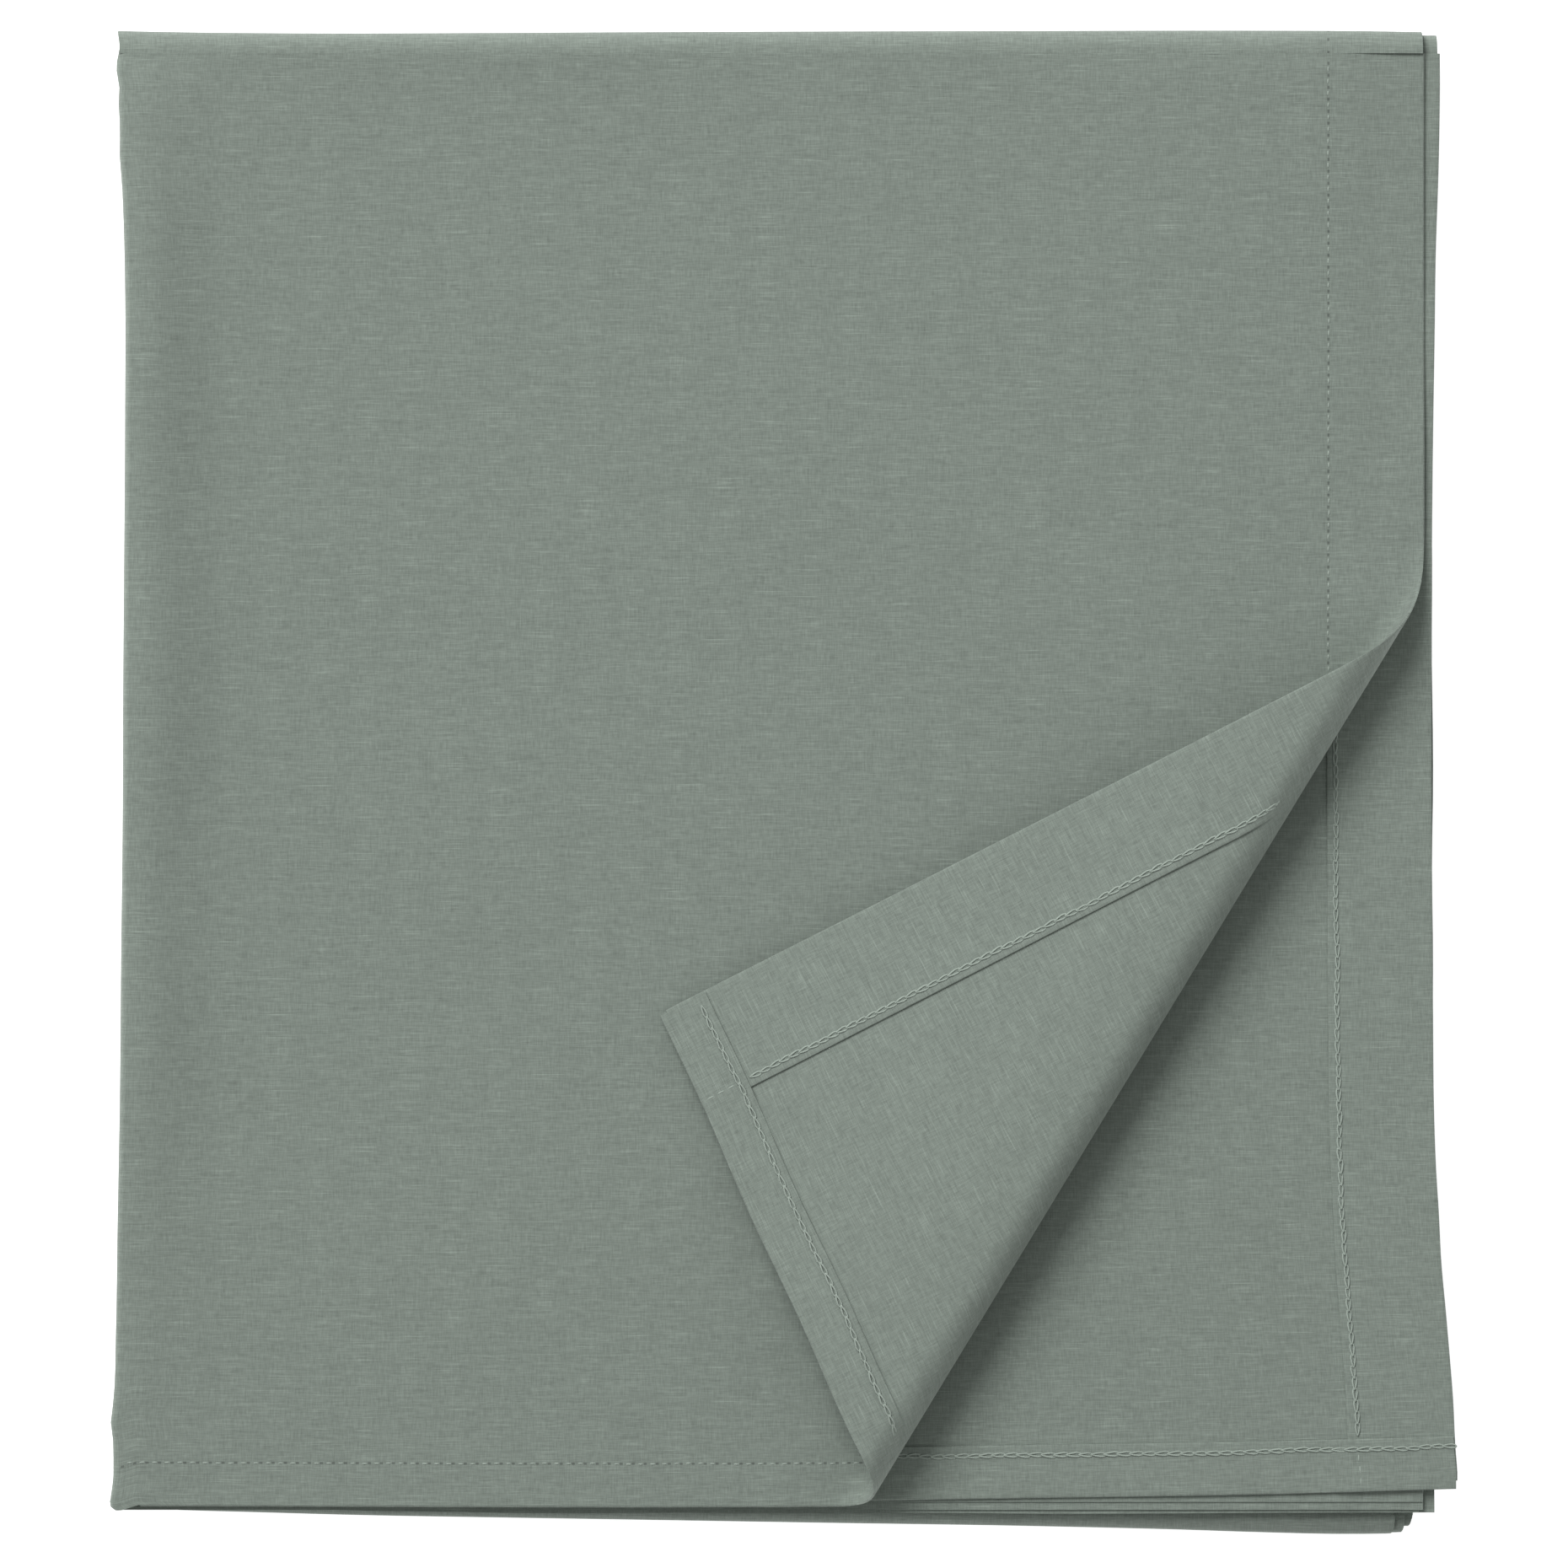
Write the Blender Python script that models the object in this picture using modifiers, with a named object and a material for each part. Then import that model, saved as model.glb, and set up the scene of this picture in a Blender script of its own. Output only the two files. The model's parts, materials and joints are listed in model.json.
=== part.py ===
"""A folded cotton tablecloth, as it lies for storage: the cloth folded in four across its width,
in half and then in three along its length, with one corner of the top leaf turned back.

Metres, +Z up, resting on z = 0. +X is across the folded cloth and +Y is along it.
Each strip is a sixth of the cloth's length, folded into four plies across the width.
From the bottom the stack holds strips 4, 3 | 2, 5 | 6, 1, and it opens in thirds at the bars:
about the bottom fold's outer line, then about the top fold's.
"""

import math

import bmesh
import bpy
from mathutils import Matrix, Vector

# ---- Sizes of the cloth ----
LEAF_WIDTH = 0.3801         # a quarter of the cloth's width
LEAF_LENGTH = 0.4298        # a sixth of the cloth's length
CLOTH = 0.00025             # thickness of one ply
PLY_GAP = 0.00015           # air between the plies of one strip
PIECE_GAP = 0.0003          # air between two separate pieces
SIDE_HEM = 0.030            # depth of the hem along the cloth's long sides
END_HEM = 0.015             # depth of the hem along the cloth's ends
SIDE_SEAM = 0.0276          # from the cloth's side edge to its seam
END_SEAM = 0.0123           # from the cloth's end edge to its seam
NEEDLE_THREAD = 0.0008      # width of the straight stitches on the right side
CHAIN_THREAD = 0.0016       # width of the chain stitches on the wrong side
THREAD = 0.00025            # height of either thread above the cloth

# ---- How it lies after folding by hand: no two plies end quite together ----
STRIP_END_OUT = {1: -0.0010, 6: 0.0023}   # the top third's strips end past the top leaf by this
FOLD_INSET = {2: 0.0030, 3: 0.0035, 4: 0.0030, 5: 0.0027, 6: 0.0018}    # right fold, from leaf 1
HEM_INSET = {2: 0.0050, 3: 0.0045, 4: 0.0060, 5: 0.0082, 6: -0.0041}    # hemmed edges, the same
SECOND_LEAF_OUT = 0.0031    # the second leaf stands out past the top leaf
SECOND_LEAF_FLARE = 0.0070  # and this much more at its lower corner
SECOND_LEAF_LIFT = 0.0054   # where its end edge has run up by this much
FLARE_RISE = 0.1426         # height above the lower end where the side edges start to run out
BOTTOM_FOLD_OUT = 0.0045    # the bottom fold stands out past the top leaf, at mid width
BOTTOM_FOLD_SKEW = -0.0187  # and runs out of square by this slope

# ---- The corner that is turned back ----
CORNER_BEARING = math.radians(58.7)  # the fold line, from +X towards +Y
CORNER_REACH = 0.1318       # from the corner's tip to the axis that it turns about
CORNER_FLARE = 0.0027       # the corner's side edge runs out this far at the tip
CORNER_LIFT = 0.0065        # its end edge runs up this far at the tip
CORNER_LIFT_RUN = 0.100     # over this length
ROLL_SLACK = 0.01157        # the cloth doesn't crease here: it takes this much up in a soft roll
ROLL_RUN = 0.030            # from the roll's front to where the roll's piece of the model ends
FLAP_TILT = math.radians(9.3)  # the flap runs down from the roll to its tip

ARC_STEPS = 6
ROLL_STEPS = 10

# ---- Heights, worked out from the bottom of the stack ----
PITCH = CLOTH + PLY_GAP
STRIP_THICK = 6 * CLOTH + 5 * PLY_GAP
STRIP_PITCH = STRIP_THICK + PIECE_GAP
LEVEL_STEP = CLOTH + PIECE_GAP
THREAD_STEP = (CLOTH + THREAD) / 2 + PIECE_GAP
STACK = (4, 3, 2, 5, 6, 1)
STRIP_BASE = {strip: place * STRIP_PITCH for place, strip in enumerate(STACK)}
SECOND_QUARTER = STRIP_BASE[1] + CLOTH / 2
SECOND_LEAF = SECOND_QUARTER + 2 * PITCH
SECOND_HEM = SECOND_LEAF + LEVEL_STEP
SECOND_CHAIN = SECOND_HEM + THREAD_STEP
TOP_CHAIN = SECOND_CHAIN + THREAD + PIECE_GAP
TOP_HEM = TOP_CHAIN + THREAD_STEP
TOP_LEAF = TOP_HEM + LEVEL_STEP
TOP_NEEDLE = TOP_LEAF + THREAD_STEP
FLAP = TOP_LEAF + LEVEL_STEP
STRIP_TOP = {strip: base + STRIP_THICK for strip, base in STRIP_BASE.items()}
STRIP_TOP[1] = TOP_LEAF + CLOTH / 2
FIRST_OPENING = STRIP_BASE[2] - PIECE_GAP / 2
SECOND_OPENING = STRIP_BASE[6] - PIECE_GAP / 2

# ---- Edges of the top leaf, and the lines where the folds start ----
LEFT = -LEAF_WIDTH / 2
RIGHT = LEAF_WIDTH / 2
LOW = -LEAF_LENGTH / 2
HIGH = LEAF_LENGTH / 2
SECOND_RIGHT = RIGHT + SECOND_LEAF_OUT
KNEE = LOW + FLARE_RISE
TOP_FOLD_LINE = HIGH - (STRIP_TOP[1] - STRIP_BASE[2]) / 2
BOTTOM_FOLD_LINE = LOW - BOTTOM_FOLD_OUT + (STRIP_TOP[5] - STRIP_BASE[4]) / 2
HEM_START = LEFT + STRIP_TOP[1] - STRIP_BASE[1]     # a hem starts clear of the left fold
HEM_TOP = TOP_FOLD_LINE - PIECE_GAP / 2

# ---- The turned corner, in the flat cloth before it is turned ----
TIP = Vector((RIGHT + CORNER_FLARE, LOW + CORNER_LIFT))
ALONG = Vector((math.cos(CORNER_BEARING), math.sin(CORNER_BEARING)))
INWARD = Vector((-math.sin(CORNER_BEARING), math.cos(CORNER_BEARING)))
AXIS_FOOT = TIP + INWARD * CORNER_REACH
CORNER_CUT = ROLL_SLACK / 2 + ROLL_RUN + PIECE_GAP / 2  # the flap and the top leaf end this far off
AXIS_LIFT = (LEVEL_STEP + CORNER_REACH * math.sin(FLAP_TILT)) / (1 + math.cos(FLAP_TILT))
AXIS_HEIGHT = TOP_LEAF + AXIS_LIFT      # a turn about it lays the tilted flap level with the leaf

# ---- The whole is centred on x = 0 and y = 0 ----
RIGHTMOST = SECOND_RIGHT + SECOND_LEAF_FLARE
LOWEST = LOW - BOTTOM_FOLD_OUT + BOTTOM_FOLD_SKEW * (RIGHT - HEM_INSET[5])
CENTRE = Vector(((LEFT + RIGHTMOST) / 2, (LOWEST + HIGH) / 2, 0))


# ---- Helpers ----

def new_collection(name, hidden=False):
    collection = bpy.data.collections.new(name)
    bpy.context.scene.collection.children.link(collection)
    collection.hide_render = hidden
    return collection


def new_material(name, colour, roughness):
    material = bpy.data.materials.new(name)
    material.use_nodes = True
    shader = material.node_tree.nodes["Principled BSDF"]
    shader.inputs["Base Color"].default_value = (*colour, 1)
    shader.inputs["Roughness"].default_value = roughness
    shader.inputs["Metallic"].default_value = 0
    return material


def hang(obj, parent):
    """Hangs an object from an axis, leaving it where it is modelled."""
    if parent:
        obj.parent = parent
        obj.matrix_parent_inverse = modelled_at[parent.name].inverted()


def new_axis(name, place, parent=None):
    """An empty on a joint's axis, with its X along the axis."""
    axis = bpy.data.objects.new(name, None)
    axis.empty_display_size = 0.02
    parts.objects.link(axis)
    axis.matrix_basis = place
    hang(axis, parent)
    modelled_at[name] = place
    return axis


def finish(obj, material, parent):
    obj.data.materials.append(material)
    hang(obj, parent)
    return obj


def arc(centre, radius, start, turn, steps=ARC_STEPS):
    """Points from the start angle through a turn, both in quarter turns."""
    angles = [math.pi / 2 * (start + turn * step / steps) for step in range(steps + 1)]
    return [
        (centre[0] + radius * math.cos(angle), centre[1] + radius * math.sin(angle))
        for angle in angles
    ]


def add_sheet(name, line, ends):
    """A sheet of cloth: a line of (x, z) points drawn out along Y, one row for each function in
    ends, which moves a point of the line to its place in that row."""
    bm = bmesh.new()
    points = [bm.verts.new((x, 0, z)) for x, z in line]
    edges = [bm.edges.new(pair) for pair in zip(points, points[1:])]
    for end in ends[1:]:
        drawn = bmesh.ops.extrude_edge_only(bm, edges=edges)["geom"]
        edges = [item for item in drawn if isinstance(item, bmesh.types.BMEdge)]
        row = {vert for edge in edges for vert in edge.verts}
        edges = [edge for edge in edges if set(edge.verts) <= row and len(edge.link_faces) == 1]
        new_row = [item for item in drawn if isinstance(item, bmesh.types.BMVert)]
        for vert in new_row:
            vert.co = end(vert.co.x, vert.co.z)
    for vert in points:
        vert.co = ends[0](vert.co.x, vert.co.z)
    bmesh.ops.recalc_face_normals(bm, faces=bm.faces)
    mesh = bpy.data.meshes.new(name)
    bm.to_mesh(mesh)
    bm.free()
    obj = bpy.data.objects.new(name, mesh)
    parts.objects.link(obj)
    solidify = obj.modifiers.new("cloth", "SOLIDIFY")
    solidify.thickness = CLOTH
    solidify.offset = 0
    solidify.use_even_offset = True
    mesh.shade_smooth()
    mesh.set_sharp_from_angle(angle=math.radians(40))
    return obj


def add_outline(name, points, thickness, place):
    """A flat closed outline, filled and given its thickness."""
    curve = bpy.data.curves.new(name, "CURVE")
    curve.dimensions = "2D"
    curve.fill_mode = "BOTH"
    curve.extrude = thickness / 2
    spline = curve.splines.new("POLY")
    spline.points.add(len(points) - 1)
    for point, (x, y) in zip(spline.points, points):
        point.co = (x, y, 0, 1)
    spline.use_cyclic_u = True
    obj = bpy.data.objects.new(name, curve)
    parts.objects.link(obj)
    obj.matrix_basis = place
    return obj


def add_plate(name, points, level, thickness, material, parent):
    """A flat piece of cloth or thread lying at its level."""
    obj = add_outline(name, points, thickness, Matrix.Translation((0, 0, level)))
    return finish(obj, material, parent)


def add_seam(name, route, width, level, material, parent):
    """A row of stitches, as one flat strip along a route of (x, y) points."""
    route = [Vector(point) for point in route]
    normals = []
    for i in range(len(route)):
        way = route[min(i + 1, len(route) - 1)] - route[max(i - 1, 0)]
        normals.append(Vector((-way.y, way.x)).normalized() * width / 2)
    side = [point + normal for point, normal in zip(route, normals)]
    other = [point - normal for point, normal in zip(route, normals)]
    return add_plate(name, side + other[::-1], level, THREAD, material, parent)


# ---- The turned corner's lines, in the flat cloth ----

def across(x, out):
    """y at this x on the line parallel to the corner's axis, out inward of it."""
    on_line = AXIS_FOOT + INWARD * out
    return on_line.y + (x - on_line.x) * ALONG.y / ALONG.x


def along(y, out):
    """x at this y on that line."""
    on_line = AXIS_FOOT + INWARD * out
    return on_line.x + (y - on_line.y) * ALONG.x / ALONG.y


def roll_profile():
    """The roll's section as (u, z): along the top leaf, up around the front and down to the flap.

    u runs inward from the roll's front, and z up from the top leaf.
    """
    rise, run = math.sin(FLAP_TILT), math.cos(FLAP_TILT)
    reach = CORNER_CUT - PIECE_GAP
    end_u = -ROLL_SLACK / 2 + reach * run + AXIS_LIFT * rise
    end_z = AXIS_LIFT * (1 + run) - reach * rise
    slope = rise / run
    radius = (end_z + slope * end_u / 2) / (2 + slope / 2)
    front = arc((radius, radius), radius, 3, -2, ROLL_STEPS)
    steps = [(end_u - radius) * step / ROLL_STEPS for step in range(1, ROLL_STEPS + 1)]
    back = [
        (radius + step, 2 * radius - slope * step ** 2 / (2 * (end_u - radius))) for step in steps
    ]
    return [(ROLL_RUN - PIECE_GAP / 2, 0)] + front + back


ROLL = roll_profile()


# ---- Strips ----

def quarter_levels(strip):
    """Heights of a strip's plies: first quarter, its hem, the fourth's hem, fourth, third, second.

    Odd strips lie with the first quarter on top and even strips with it underneath.
    """
    base = STRIP_BASE[strip] + CLOTH / 2
    heights = [base + PITCH * ply for ply in range(6)]
    if strip % 2:
        heights.reverse()
    return heights


def strip_line(levels, fold_right, hem_right, hem):
    """The cloth's line across its width, as (x, z), wound in four from its first edge inwards.

    hem is the depth of the two hems folded inside, or 0 where they are pieces of their own.
    """
    first, first_hem, fourth_hem, fourth, third, second = levels
    up = 1 if first > second else -1
    outer = abs(first - second) / 2
    fold = PITCH / 2
    outer_turn = LEFT + CLOTH / 2 + outer
    inner_turn = outer_turn + PITCH
    line = []
    if hem:
        line.append((hem_right - hem, first_hem))
        line += arc((hem_right - fold, (first_hem + first) / 2), fold, -up, 2 * up)
    else:
        line.append((hem_right, first))
    line += arc((outer_turn, (first + second) / 2), outer, up, 2 * up)
    line += arc((fold_right - fold, (second + third) / 2), fold, -up, 2 * up)
    line += arc((inner_turn, (third + fourth) / 2), fold, -up, -2 * up)
    if hem:
        line += arc((hem_right - fold, (fourth + fourth_hem) / 2), fold, -up, 2 * up)
        line.append((hem_right - hem, fourth_hem))
    else:
        line.append((hem_right, fourth))
    return line


def add_inner_strips():
    """The five strips under the top one, each with its two side hems folded inside it."""
    for strip, parent in ((4, root), (3, root), (2, middle_axis), (5, middle_axis), (6, top_axis)):
        if strip == 6:
            low = LOW - STRIP_END_OUT[6]
            slope = 0
        else:
            low = BOTTOM_FOLD_LINE + PIECE_GAP / 2
            slope = BOTTOM_FOLD_SKEW
        line = strip_line(
            quarter_levels(strip), RIGHT - FOLD_INSET[strip] - CLOTH / 2,
            RIGHT - HEM_INSET[strip] - CLOTH / 2, SIDE_HEM,
        )
        ends = (
            lambda x, z: (x, HEM_TOP, z),
            lambda x, z, low=low, slope=slope: (x, low + slope * x, z),
        )
        finish(add_sheet(f"strip_{strip}", line, ends), inner_cloth, parent)


def add_top_strip():
    """The strip on top: the top leaf outside, the second leaf under it, and two more plies."""
    levels = (
        TOP_LEAF, TOP_HEM, SECOND_HEM, SECOND_LEAF, SECOND_QUARTER + PITCH, SECOND_QUARTER,
    )
    line = strip_line(levels, RIGHT - CLOTH / 2, RIGHT, 0)
    line[-1] = (SECOND_RIGHT, SECOND_LEAF)

    def upper_end(x, z):
        return x, HEM_TOP, z

    def knee(x, z):
        return x, KNEE, z

    def lower_end(x, z):
        if x > RIGHT + SECOND_LEAF_OUT / 2:
            return x + SECOND_LEAF_FLARE, LOW + SECOND_LEAF_LIFT, z
        if z > TOP_LEAF - CLOTH:
            return x, LOW, z
        return x, LOW - STRIP_END_OUT[1], z

    strip = add_sheet("strip_1", line, (upper_end, knee, lower_end))
    cut = strip.modifiers.new("turned corner", "BOOLEAN")
    cut.operation = "DIFFERENCE"
    cut.solver = "EXACT"
    cut.object = add_corner_cutter()
    finish(strip, face_cloth, top_axis)


def add_corner_cutter():
    """A wedge over the turned corner, at the top leaf's height only."""
    reach = LEAF_LENGTH + LEAF_WIDTH
    middle = AXIS_FOOT + INWARD * (CORNER_CUT - reach / 2)
    bpy.ops.mesh.primitive_cube_add(size=1)
    cutter = bpy.context.object
    cutter.name = "corner_cutter"
    size = Matrix.Diagonal((2 * reach, reach, 2 * CLOTH, 1))
    cutter.data.transform(size)
    cutter.matrix_basis = (
        Matrix.Translation((middle.x, middle.y, TOP_LEAF)) @ Matrix.Rotation(CORNER_BEARING, 4, "Z")
    )
    cutter.display_type = "WIRE"
    cutter.hide_render = True
    for collection in list(cutter.users_collection):
        collection.objects.unlink(cutter)
    cutters.objects.link(cutter)
    hang(cutter, root)
    return cutter


# ---- Folds between the strips ----

def add_bend(name, outside, inside, start, side, slope, span, material, parent, turn=(1, -2)):
    """A half round bend with its section in (y, z) and its width along x.

    outside and inside are the low and high of its two faces; side is 1 at the top edge of the
    stack and -1 at the bottom; turn is the start and turn of the bend, in quarter turns.
    """
    faces = []
    for low, high in (outside, inside):
        faces.append(arc((0, (low + high) / 2), (high - low) / 2, *turn, 2 * ARC_STEPS))
    left, right = span
    middle = (left + right) / 2
    lean = math.atan(slope)
    width = (right - left) / math.cos(lean)
    upright = Matrix(((0, 0, side), (side, 0, 0), (0, 1, 0))).to_4x4()
    place = Matrix.Translation((middle, start + slope * middle + side * PIECE_GAP / 2, 0))
    place = place @ Matrix.Rotation(lean, 4, "Z") @ upright
    obj = add_outline(name, faces[0] + faces[1][::-1], width, place)
    return finish(obj, material, parent)


def add_folds():
    """Each fold joins a strip to another, four plies thick: an inner fold lies inside an outer."""
    whole = (LEFT, RIGHT - FOLD_INSET[5])
    for name, lower, upper, top, material, parent in (
        ("turn_fold", 4, 3, True, inner_cloth, root),
        ("bottom_fold_inner", 3, 2, False, inner_cloth, middle_axis),
        ("bottom_fold_outer", 4, 5, False, face_cloth, middle_axis),
        ("top_fold_inner", 5, 6, True, inner_cloth, top_axis),
        ("top_fold_outer", 2, 1, True, face_cloth, top_axis),
    ):
        outside = (STRIP_BASE[lower], STRIP_TOP[upper])
        inside = (STRIP_TOP[lower], STRIP_BASE[upper])
        if top:
            add_bend(name, outside, inside, TOP_FOLD_LINE, 1, 0, (LEFT, RIGHT), material, parent)
        else:
            add_bend(
                name, outside, inside, BOTTOM_FOLD_LINE, -1, BOTTOM_FOLD_SKEW, whole,
                material, parent,
            )


def add_fold_seam(name, lower, upper, start, side, slope, edge, turn, parent):
    """The side seam's straight stitches where they run on around an outer fold."""
    low = STRIP_BASE[lower] - PIECE_GAP
    high = STRIP_TOP[upper] + PIECE_GAP
    seam = edge - SIDE_SEAM
    add_bend(
        name, (low - THREAD, high + THREAD), (low, high), start, side, slope,
        (seam - NEEDLE_THREAD / 2, seam + NEEDLE_THREAD / 2), thread, parent, turn,
    )


# ---- Hems and seams ----

def side_edge(edge, flare, low):
    """x of a side edge that runs straight down to the knee and then out to its corner."""
    def at(y):
        return edge + flare * max(0, KNEE - y) / (KNEE - low)
    return at


def add_top_leaf_hems():
    cut = CORNER_CUT
    inner = RIGHT - SIDE_HEM
    add_plate(
        "top_leaf_side_hem",
        [(inner, HEM_TOP), (inner, across(inner, cut)), (RIGHT, across(RIGHT, cut)),
         (RIGHT, HEM_TOP)],
        TOP_HEM, CLOTH, wrong_side, top_axis,
    )
    high = LOW + END_HEM
    add_plate(
        "top_leaf_end_hem",
        [(HEM_START, LOW), (along(LOW, cut), LOW), (along(high, cut), high), (HEM_START, high)],
        TOP_HEM, CLOTH, wrong_side, top_axis,
    )
    seam_x = RIGHT - SIDE_SEAM
    seam_y = LOW + END_SEAM
    stop = ROLL_SLACK / 2 + ROLL_RUN / 2
    for name, width, level, out in (
        ("seam", NEEDLE_THREAD, TOP_NEEDLE, stop), ("chain", CHAIN_THREAD, TOP_CHAIN, cut),
    ):
        add_seam(
            f"top_leaf_side_{name}", [(seam_x, HEM_TOP), (seam_x, across(seam_x, out) + width)],
            width, level, thread, top_axis,
        )
        add_seam(
            f"top_leaf_end_{name}", [(HEM_START, seam_y), (along(seam_y, out) - width, seam_y)],
            width, level, thread, top_axis,
        )


def add_second_leaf_hems():
    """The second leaf lies wrong side up, so its hems and chain stitches are on top of it."""
    edge = side_edge(SECOND_RIGHT, SECOND_LEAF_FLARE, LOW + SECOND_LEAF_LIFT)
    left_low = LOW - STRIP_END_OUT[1]
    right_low = LOW + SECOND_LEAF_LIFT
    corner = edge(right_low)
    high = right_low + END_HEM + PIECE_GAP
    add_plate(
        "second_leaf_side_hem",
        [(edge(y) - depth, y) for y, depth in (
            (HEM_TOP, SIDE_HEM), (KNEE, SIDE_HEM), (high, SIDE_HEM),
            (high, 0), (KNEE, 0), (HEM_TOP, 0),
        )],
        SECOND_HEM, CLOTH, wrong_side, top_axis,
    )
    add_plate(
        "second_leaf_end_hem",
        [(HEM_START, left_low), (corner, right_low), (corner - PIECE_GAP, right_low + END_HEM),
         (HEM_START, left_low + END_HEM)],
        SECOND_HEM, CLOTH, wrong_side, top_axis,
    )
    add_seam(
        "second_leaf_side_chain",
        [(edge(y) - SIDE_SEAM, y) for y in (HEM_TOP, KNEE, high)],
        CHAIN_THREAD, SECOND_CHAIN, thread, top_axis,
    )
    add_seam(
        "second_leaf_end_chain",
        [(HEM_START, left_low + END_SEAM), (corner - PIECE_GAP, right_low + END_SEAM)],
        CHAIN_THREAD, SECOND_CHAIN, thread, top_axis,
    )


def add_corner():
    """The turned corner's own pieces, modelled flat where they lie when the corner is opened."""
    cut = -CORNER_CUT
    edge = side_edge(RIGHT, CORNER_FLARE, TIP.y)
    lift_start = TIP.x - CORNER_LIFT_RUN
    add_plate(
        "corner_flap",
        [tuple(TIP), (RIGHT, KNEE), (RIGHT, across(RIGHT, cut)), (along(LOW, cut), LOW),
         (lift_start, LOW)],
        TOP_LEAF, CLOTH, wrong_side, corner_axis,
    )
    high = TIP.y + END_HEM + PIECE_GAP

    def side_line(depth):
        start = across(RIGHT - depth, cut)
        turns = (start, KNEE, high) if KNEE < start else (start, high)
        return [(edge(y) - depth, y) for y in turns]

    add_plate(
        "corner_side_hem", side_line(SIDE_HEM) + side_line(0)[::-1], TOP_HEM, CLOTH, wrong_side,
        corner_axis,
    )
    add_plate(
        "corner_end_hem",
        [tuple(TIP), (TIP.x, TIP.y + END_HEM), (lift_start, LOW + END_HEM),
         (along(LOW + END_HEM, cut), LOW + END_HEM), (along(LOW, cut), LOW), (lift_start, LOW)],
        TOP_HEM, CLOTH, wrong_side, corner_axis,
    )
    seam_y = LOW + END_SEAM
    add_seam(
        "corner_side_chain", side_line(SIDE_SEAM), CHAIN_THREAD, TOP_CHAIN, thread, corner_axis
    )
    add_seam(
        "corner_end_chain",
        [(along(seam_y, cut) + CHAIN_THREAD, seam_y), (lift_start, seam_y),
         (TIP.x - PIECE_GAP, TIP.y + END_SEAM)],
        CHAIN_THREAD, TOP_CHAIN, thread, corner_axis,
    )


def add_roll():
    """The soft roll where the corner turns back, open between the top leaf and the flap.

    In the flat cloth its two ends lie on the leaf's side edge and on its end edge, so each point
    of its section has an end of its own: flat_out is that point's place in the flat cloth.
    """
    bm = bmesh.new()
    flat_out = ROLL_SLACK / 2 + ROLL[0][0]
    before = Vector(ROLL[0])
    rows = []
    for u, z in ROLL:
        flat_out -= (Vector((u, z)) - before).length
        before = Vector((u, z))
        low_end = Vector((along(LOW, flat_out), LOW))
        high_end = Vector((RIGHT, across(RIGHT, flat_out)))
        lift = INWARD * (ROLL_SLACK / 2 + u - flat_out)
        rows.append([
            bm.verts.new((*(end + lift), TOP_LEAF + z)) for end in (low_end, high_end)
        ])
    bmesh.ops.bridge_loops(
        bm, edges=[bm.edges.new(pair) for row in zip(rows, rows[1:]) for pair in zip(*row)]
    )
    bmesh.ops.recalc_face_normals(bm, faces=bm.faces)
    mesh = bpy.data.meshes.new("corner_roll")
    bm.to_mesh(mesh)
    bm.free()
    obj = bpy.data.objects.new("corner_roll", mesh)
    parts.objects.link(obj)
    solidify = obj.modifiers.new("cloth", "SOLIDIFY")
    solidify.thickness = CLOTH
    solidify.offset = 0
    solidify.use_even_offset = True
    mesh.shade_smooth()
    finish(obj, face_cloth, corner_axis)


# ---- The model ----

for old in list(bpy.data.objects):
    bpy.data.objects.remove(old, do_unlink=True)

modelled_at = {}
parts = new_collection("folded_tablecloth")
cutters = new_collection("cutters", hidden=True)
face_cloth = new_material("cloth_face", (0.224, 0.262, 0.231), 0.90)
wrong_side = new_material("cloth_wrong_side", (0.236, 0.276, 0.243), 0.92)
inner_cloth = new_material("cloth_inside", (0.200, 0.236, 0.207), 0.90)
thread = new_material("sewing_thread", (0.400, 0.450, 0.405), 0.70)

root = new_axis("tablecloth", Matrix.Identity(4))
middle_axis = new_axis(
    "bottom_fold_axis",
    Matrix.Translation((0, LOW - BOTTOM_FOLD_OUT, FIRST_OPENING))
    @ Matrix.Rotation(math.atan(BOTTOM_FOLD_SKEW), 4, "Z"),
    root,
)
top_axis = new_axis(
    "top_fold_axis", Matrix.Translation((0, HIGH, SECOND_OPENING)), middle_axis
)
corner_axis = new_axis(
    "corner_fold_axis",
    Matrix.Translation((AXIS_FOOT.x, AXIS_FOOT.y, AXIS_HEIGHT))
    @ Matrix.Rotation(CORNER_BEARING, 4, "Z"),
    top_axis,
)

add_inner_strips()
add_top_strip()
add_folds()
add_fold_seam("top_fold_seam", 2, 1, TOP_FOLD_LINE, 1, 0, RIGHT, (1, -1.3), top_axis)
add_fold_seam(
    "bottom_fold_seam", 4, 5, BOTTOM_FOLD_LINE, -1, BOTTOM_FOLD_SKEW, RIGHT - HEM_INSET[5],
    (0.6, -0.9), middle_axis,
)
add_top_leaf_hems()
add_second_leaf_hems()
add_corner()

# The corner is turned back about its axis, and the roll is modelled as it then lies
corner_axis.matrix_basis = modelled_at["corner_fold_axis"] @ Matrix.Rotation(
    math.pi - FLAP_TILT, 4, "X"
)
modelled_at["corner_fold_axis"] = corner_axis.matrix_basis.copy()
add_roll()

root.location = -CENTRE
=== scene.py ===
import json
import math

import bpy
import numpy as np
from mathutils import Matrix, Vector, noise


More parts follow.
